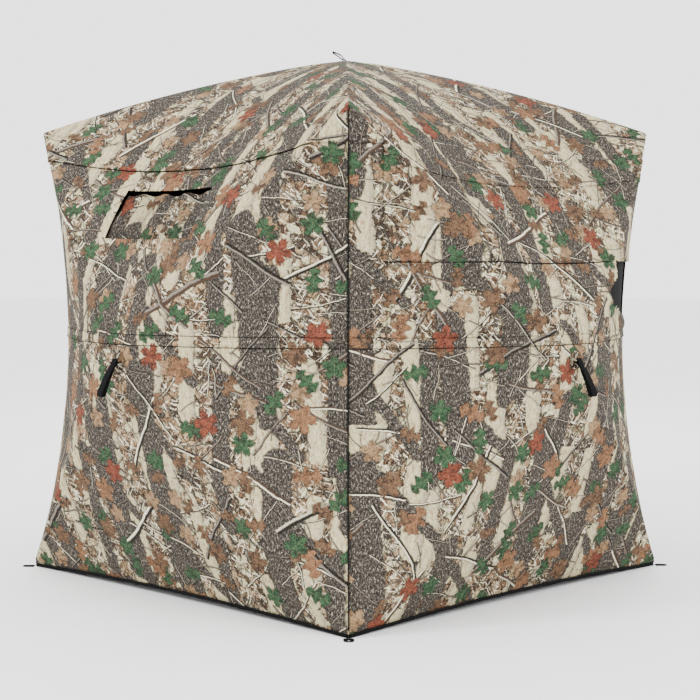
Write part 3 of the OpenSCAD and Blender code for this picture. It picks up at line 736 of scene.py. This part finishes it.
FLAP_HALF, FLAP_FOOT, FLAP_TOP = 0.87, 0.407, 0.895
p, q, faces = rectangle(-FLAP_HALF, FLAP_HALF, FLAP_FOOT, FLAP_TOP)
off = FLAP_OUT + 0.004 * np.exp(-((q - FLAP_FOOT) / 0.03)) * np.sin(p * 17)
flap = cloth("right_flap", "right", p, q, off, faces, "right_upper_flap", cut=(1.27, 0.36))
p, q, faces = rectangle(-FLAP_HALF, FLAP_HALF, 0.770, 0.805)
off = FLAP_OUT + 0.0018 + 0.0016 * (q < 0.78)
strip = cloth("right_flap_strip", "right", p, q, off, faces, None, cut=(1.27, 0.027))
# A black strip just below the flap's foot: painted shadow under its lower edge
p, q, faces = rectangle(-FLAP_HALF, FLAP_HALF, 0.4040, 0.4085, 0.003)
off = FLAP_OUT - 0.0012
flap_shadow_edge = cloth("right_flap_edge", "right", p, q, off, faces, None, BLACK_CLOTH)
for piece in (flap, strip, flap_shadow_edge):
    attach(piece, "right_upper_flap")
    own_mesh(piece)

# ---------------------------------------------------------------- door and zips
rings, shares = np.linspace(0.2, 0.88, 61), np.linspace(-1, 1, 81)
m, e = np.meshgrid(rings, shares, indexing="ij")
p, q = -m, e * (m - 0.065)
door = cloth("back_door_panel", "back", p, q, COVER_OUT, grid_faces(*m.shape), "back_door", cut=(0.52, 1.22))
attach(door, "back_door")
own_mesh(door)


def lump(points, faces, at, ax, ay, az, size):
    """A small six-sided block with its top drawn in, for a tooth or a stitch."""
    base = len(points)
    for z, k in ((-0.5, 1.0), (0.5, 0.6)):
        for sx, sy in ((-1, -1), (1, -1), (1, 1), (-1, 1)):
            points.append(at + ax * (sx * size[0] * k / 2) + ay * (sy * size[1] * k / 2) + az * (z * size[2]))
    box = ((3, 2, 1, 0), (4, 5, 6, 7), (0, 1, 5, 4), (1, 2, 6, 5), (2, 3, 7, 6), (3, 0, 4, 7))
    faces += [tuple(base + i for i in f) for f in box]


for side, label in ((1, "upper"), (-1, "lower")):
    rings = np.linspace(0.2, 0.88, 120)
    m, k = np.meshgrid(rings, np.linspace(0.030, 0.045, 7), indexing="ij")
    faces = grid_faces(*m.shape)
    faces = faces if side < 0 else [f[::-1] for f in faces]
    tape = cloth(f"zip_tape_{label}", "back", -m, side * (m - k), COVER_OUT, faces,
                 "door_zips", TAPE)
    gore_blend(tape, "back", "left")
    rings = np.linspace(0.21, 0.87, 260)
    line = turned(skin(wall_point, -rings, side * (rings - 0.0375), 0.0052), "back")
    points, faces = [], []
    for i in range(1, len(line) - 1):
        ahead = line[i + 1] - line[i - 1]
        ahead /= np.linalg.norm(ahead)
        out = np.array([0.0, 1.0, 0.0])
        out -= ahead * (out @ ahead)
        out /= np.linalg.norm(out)
        across = np.cross(out, ahead) * (1 if i % 2 else -1)
        lump(points, faces, line[i] + across * 0.0008, ahead, across, out, (0.0016, 0.0042, 0.0018))
    teeth = mesh_object(f"zip_coil_{label}", points, faces, material=COIL, smooth=False)
    gore_blend(teeth, "back", "left")

# ---------------------------------------------------------------- roof cap
SKIRT = 9
for wall in WALLS:
    # The roof's own gore, then a skirt that runs on down the wall to the seam
    shape = roof_point(P, Q)
    normal = np.cross(np.gradient(shape, axis=1), np.gradient(shape, axis=0))
    normal /= np.linalg.norm(normal, axis=-1, keepdims=True)
    lift = 0.0026 + wrinkles(P, Q, 90.0)
    shape = (shape + lift[..., None] * normal).reshape(-1, 3)
    angle = WALLS.index(wall)
    side = ("lower", "right", "upper", "left")[angle]
    cells = gore_cells(side, COUNT, lambda x, y: np.maximum(np.abs(x), np.abs(y)) > PLATE_HOLE)
    a = angle * math.pi / 2
    c, s = round(math.cos(a)), round(math.sin(a))
    local_x, local_y = (P * c + Q * s).ravel(), (Q * c - P * s).ravel()
    up = EAVE_UP + (1 + local_y) * PRINT_OVER
    marks = np.stack([local_x * PRINT_ACROSS + PRINT_SHIFT[wall], up], -1)
    points, faces, marks = welded(shape, cells, marks)
    gore = thicken(mesh_object(f"roof_cap_{wall}", points, faces, marks, CAMO), CLOTH, BLACK_CLOTH)
    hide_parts("roof_fabric")
    roof_blend(gore, wall)
    p, q = np.meshgrid(AXIS * 0.998, np.linspace(SEAM_Q, 0.999, SKIRT))
    out = 0.0028 + 0.0022 * np.clip((SEAM_Q + 0.02 - q) / 0.02, 0, 1)
    skirt = cloth(f"roof_skirt_{wall}", wall, p, q, out, grid_faces(*p.shape), None, cut=(1.44, 0.10))
    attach(skirt, "root")

# ---------------------------------------------------------------- webbing
def ribbon(name, path, across, widths, thick, closed, material=WEBBING):
    """A strap swept along path, with rounded edges. across is the direction of its width."""
    path = np.asarray(path, float)
    n = len(path)
    ahead = np.roll(path, -1, 0) - np.roll(path, 1, 0) if closed else np.gradient(path, axis=0)
    ahead /= np.linalg.norm(ahead, axis=1, keepdims=True)
    up = np.cross(ahead, across)
    up /= np.linalg.norm(up, axis=1, keepdims=True)
    quarter = [(0.16, 0.56), (0.46, 0.5), (0.5, 0.15)]
    half = [(-x, y) for x, y in quarter[::-1]] + quarter
    outline = half + [(-x, -y) for x, y in half]
    k = len(outline)
    points = np.array([path[i] + across * (x * widths[i]) + up[i] * (y * thick)
                       for i in range(n) for x, y in outline])
    faces = []
    for i in range(n if closed else n - 1):
        a, b = i * k, ((i + 1) % n) * k
        faces += [(a + j, a + (j + 1) % k, b + (j + 1) % k, b + j) for j in range(k)]
    if not closed:
        faces += [tuple(range(k))[::-1], tuple((n - 1) * k + j for j in range(k))]
    return mesh_object(name, points, faces, material=material)


BAR_OUT = 0.010
SEWN_AT = 0.22  # where the two plies are sewn together, as a share of the loop's length
WEBBING_WIDE = 0.025


def strap_loop(name, length, lean, opening, place):
    """A pull loop: round the plate's bar, sewn together below it, its end opened or drawn in."""
    t = np.linspace(0, 1, 60)
    sewn = 0.0024 * np.exp(-(((t - SEWN_AT) / 0.10) ** 2))
    gap = 0.0044 - sewn + opening * np.clip((t - 0.4) / 0.6, 0, 1) ** 1.5
    run = t * (length - 0.006)
    bow = 0.004 * np.sin(t * math.pi)
    end = np.linspace(math.pi / 2, -math.pi / 2, 14)[1:-1]
    top = np.linspace(-math.pi / 2, -3 * math.pi / 2, 14)[1:-1]
    side_a = np.stack([run, gap + bow], 1)
    tip = np.stack([run[-1] + gap[-1] * np.cos(end), gap[-1] * np.sin(end)], 1)
    side_b = np.stack([run, bow - gap], 1)[::-1]
    head = np.stack([gap[0] * np.cos(top), gap[0] * np.sin(top)], 1)
    flat = np.concatenate([side_a, tip, side_b, head])
    down = np.array([0, -math.cos(lean), math.sin(lean)])
    out = np.array([0, math.sin(lean), math.cos(lean)])
    path = np.outer(flat[:, 0], down) + np.outer(flat[:, 1], out) + np.array([0, 0, BAR_OUT])
    narrow = 1 - 0.14 * np.exp(-(((flat[:, 0] / length - SEWN_AT) / 0.14) ** 2))
    across = np.array([1.0, 0, 0])
    o = place(np.zeros(3))
    obj = ribbon(name, place(path), place(across) - o, WEBBING_WIDE * narrow, 0.0018, True)
    points, faces = [], []
    for row in (0.16, 0.20, 0.24, 0.28):
        for x in np.linspace(-0.0085, 0.0085, 6):
            at = down * (row * length) + out * 0.0036 + np.array([x, 0, BAR_OUT])
            axes = (place(across) - o, place(down) - o, place(out) - o)
            lump(points, faces, place(at), *axes, (0.0026, 0.0009, 0.0010))
    stitches = mesh_object(name + "_stitches", points, faces, material=THREAD)
    return obj, stitches


def wall_place(wall):
    return lambda v: turned(np.stack([v[..., 0], -HUB_OUT - v[..., 2], HUB_Z + v[..., 1]], -1), wall)


def roof_place(v):
    c = math.sqrt(0.5)
    return np.stack([c * v[..., 0] + c * v[..., 1], -c * v[..., 0] + c * v[..., 1], APEX_Z + v[..., 2]], -1)


# Each loop's length, lean from its wall or roof, and how far its end opens
WALL_LOOP = (0.118, math.radians(29), 0.0035)
ROOF_LOOP = (0.058, math.radians(38), -0.0026)
for where in (*WALLS, "roof"):
    shape = (*ROOF_LOOP, roof_place) if where == "roof" else (*WALL_LOOP, wall_place(where))
    pieces = strap_loop(f"{where}_pull_loop", *shape)
    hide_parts(f"{where}_strap")
    for piece in pieces:
        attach(piece, f"{where}_strap")

# Piping down the four corners, from eave to ground
c = math.sqrt(0.5)
for wall in WALLS:
    q = np.linspace(-0.985, 0.99, 90)
    path = wall_point(0 * q + 1.0, q) + np.array([0.0012, -0.0012, 0])
    across = turned(np.array([c, c, 0]), wall)
    wide = np.full(len(q), 0.0034)
    pipe = ribbon(f"{wall}_corner_piping", turned(path, wall), across, wide, 0.0028, False, TAPE)
    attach(pipe, "root")

# Binding round the foot of each wall, with its stitches
for wall in WALLS:
    e = np.linspace(-1, 1, 141)
    sway = 0.0006 * noise2(e * 22, e * 0, 5.0 + WALLS.index(wall))
    path = np.stack([e * 0.745, -0.748 + sway, 0.0052 + HEM_LIFT * (1 - e * e)], 1)
    up = np.array([0.0, 0, 1])
    hem = ribbon(f"{wall}_hem", turned(path, wall), up, np.full(len(e), 0.0100), 0.0036, False)
    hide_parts("ground_hem")
    points, faces = [], []
    along, out = (turned(np.array(v, float), wall) for v in ((1, 0, 0), (0, -1, 0)))
    for i in range(1, len(e) - 1):
        at = turned(path[i] + np.array([0, -0.0019, 0.0022]), wall)
        lump(points, faces, at, along, up, out, (0.0060, 0.0009, 0.0008))
    for piece in (hem, mesh_object(f"{wall}_hem_stitches", points, faces, material=THREAD)):
        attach(piece, "root")

# Stake loops: flat tabs with a round outer end and a hole
TAB_FROM = FOOT_HALF * math.sqrt(2) + 0.003
TAB_LONG, TAB_WIDE, TAB_THICK, HOLE, ROUND = 0.040, 0.030, 0.0025, 0.006, 72
for number in range(4):
    turn = number * math.pi / 2 - math.pi / 4
    centre = TAB_FROM + TAB_LONG - TAB_WIDE / 2
    points, faces = [], []
    turns = np.linspace(0, TAU, ROUND + 1)[:-1]
    shares = (0.0, 0.15, 0.5, 0.92, 1.0)
    for share in shares:
        for z in (0.0, TAB_THICK):
            for a in turns:
                x, y = math.cos(a), math.sin(a)
                rim = TAB_WIDE / 2
                if x < 0:
                    rim = min(rim / max(abs(y), 1e-9), (TAB_LONG - TAB_WIDE / 2) / max(-x, 1e-9))
                d = mix(HOLE, rim, share)
                inset = 0.0004 if share in (0.0, 1.0) else 0.0
                points.append((centre + d * x, d * y, inset if z == 0 else z - inset))
    for k in range(len(shares) - 1):
        for i in range(ROUND):
            j = (i + 1) % ROUND
            low, high = k * 2 * ROUND, (k + 1) * 2 * ROUND
            faces.append((low + j, high + j, high + i, low + i))
            faces.append((low + ROUND + i, high + ROUND + i, high + ROUND + j, low + ROUND + j))
    for k in (0, len(shares) - 1):
        for i in range(ROUND):
            j, base = (i + 1) % ROUND, k * 2 * ROUND
            face = (base + i, base + j, base + ROUND + j, base + ROUND + i)
            faces.append(face[::-1] if k == 0 else face)
    flat = np.array(points)
    c, s = math.cos(turn), math.sin(turn)
    flat = np.stack([c * flat[:, 0] - s * flat[:, 1], s * flat[:, 0] + c * flat[:, 1], flat[:, 2]], -1)
    tab = mesh_object(f"stake_loop_{number}", flat, faces, material=WEBBING, smooth=False)
    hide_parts("stake_loops")
    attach(tab, "root")

# ---------------------------------------------------------------- carried CAD nodes
STEEL_END = 0.1165  # from the hub's middle to the end of a rod's steel fitting


def pole_material(name, hub):
    """Rods are dark fibreglass beyond the steel fitting at their hub."""
    g = Graph(name)
    x, y, z = g.split(g.put("TexCoord", {}, output=3))
    dx, dy, dz = x - hub[0], y - hub[1], z - hub[2]
    far = g.ramp(g.math("SQRT", dx * dx + dy * dy + dz * dz), STEEL_END, STEEL_END + 0.001)
    grain = g.noise(x, y, 300, 4, 3.0)
    rod = g.blend(g.ramp(grain, 0.3, 0.7), (0.012, 0.012, 0.011), (0.032, 0.031, 0.028))
    set_input(g, "Base Color", g.blend(far, (0.50, 0.51, 0.53), rod))
    set_input(g, "Metallic", 1.0 - far)
    set_input(g, "Roughness", g.ramp(grain, 0.3, 0.7, 0.26, 0.44))
    bump(g, grain, 0.0001, 0.6)
    return g.material


def paint(node, material):
    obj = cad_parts[node]
    for slot in obj.material_slots:
        slot.material = material
    if not obj.material_slots:
        obj.data.materials.append(material)


for where in (*WALLS, "roof"):
    hub = np.array([0, 0, APEX_Z]) if where == "roof" else turned(np.array([0, -HUB_OUT, HUB_Z]), where)
    rods = pole_material(f"{where}_rods", tuple(float(v) for v in hub))
    paint(f"{where}_hub", NYLON)
    paint(f"{where}_hub_pins", STEEL)
    paint(f"{where}_hub_plate", CAMO_PLATE[where])
    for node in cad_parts:
        if node.startswith(f"{where}_pole_"):
            paint(node, rods)
for node in ("ground_anchors", "roof_anchors"):
    paint(node, NYLON)
for node in ("upper_zip_slider", "lower_zip_slider"):
    paint(node, STEEL)

# ---------------------------------------------------------------- floor and light
floor_data = bpy.data.meshes.new("floor")
floor_data.from_pydata([(-30, -30, 0), (30, -30, 0), (30, 30, 0), (-30, 30, 0)], [], [(0, 1, 2, 3)])
floor = bpy.data.objects.new("floor", floor_data)
bpy.context.scene.collection.objects.link(floor)
floor_data.materials.append(plain("pale_floor", (0.90, 0.90, 0.90), 0.85, scale=3, vary=0.01, grain=0.00001))

world = bpy.data.worlds.new("studio")
world.use_nodes = True
sky = world.node_tree.nodes["Background"]
sky.inputs["Color"].default_value = (1, 1, 1, 1)
sky.inputs["Strength"].default_value = 2.7
bpy.context.scene.world = world


def area_light(name, place, size, power):
    data = bpy.data.lights.new(name, "AREA")
    data.shape, data.size, data.energy = "DISK", size, power
    obj = bpy.data.objects.new(name, data)
    obj.location = place
    obj.rotation_euler = (Vector((0, 0, 0.8)) - Vector(place)).to_track_quat("-Z", "Y").to_euler()
    bpy.context.scene.collection.objects.link(obj)


area_light("key", (-1.5, -5.5, 4.6), 2.0, 260)
area_light("fill", (5.5, -1.0, 3.0), 3.0, 120)
area_light("back", (-3.0, 4.0, 4.5), 3.0, 120)
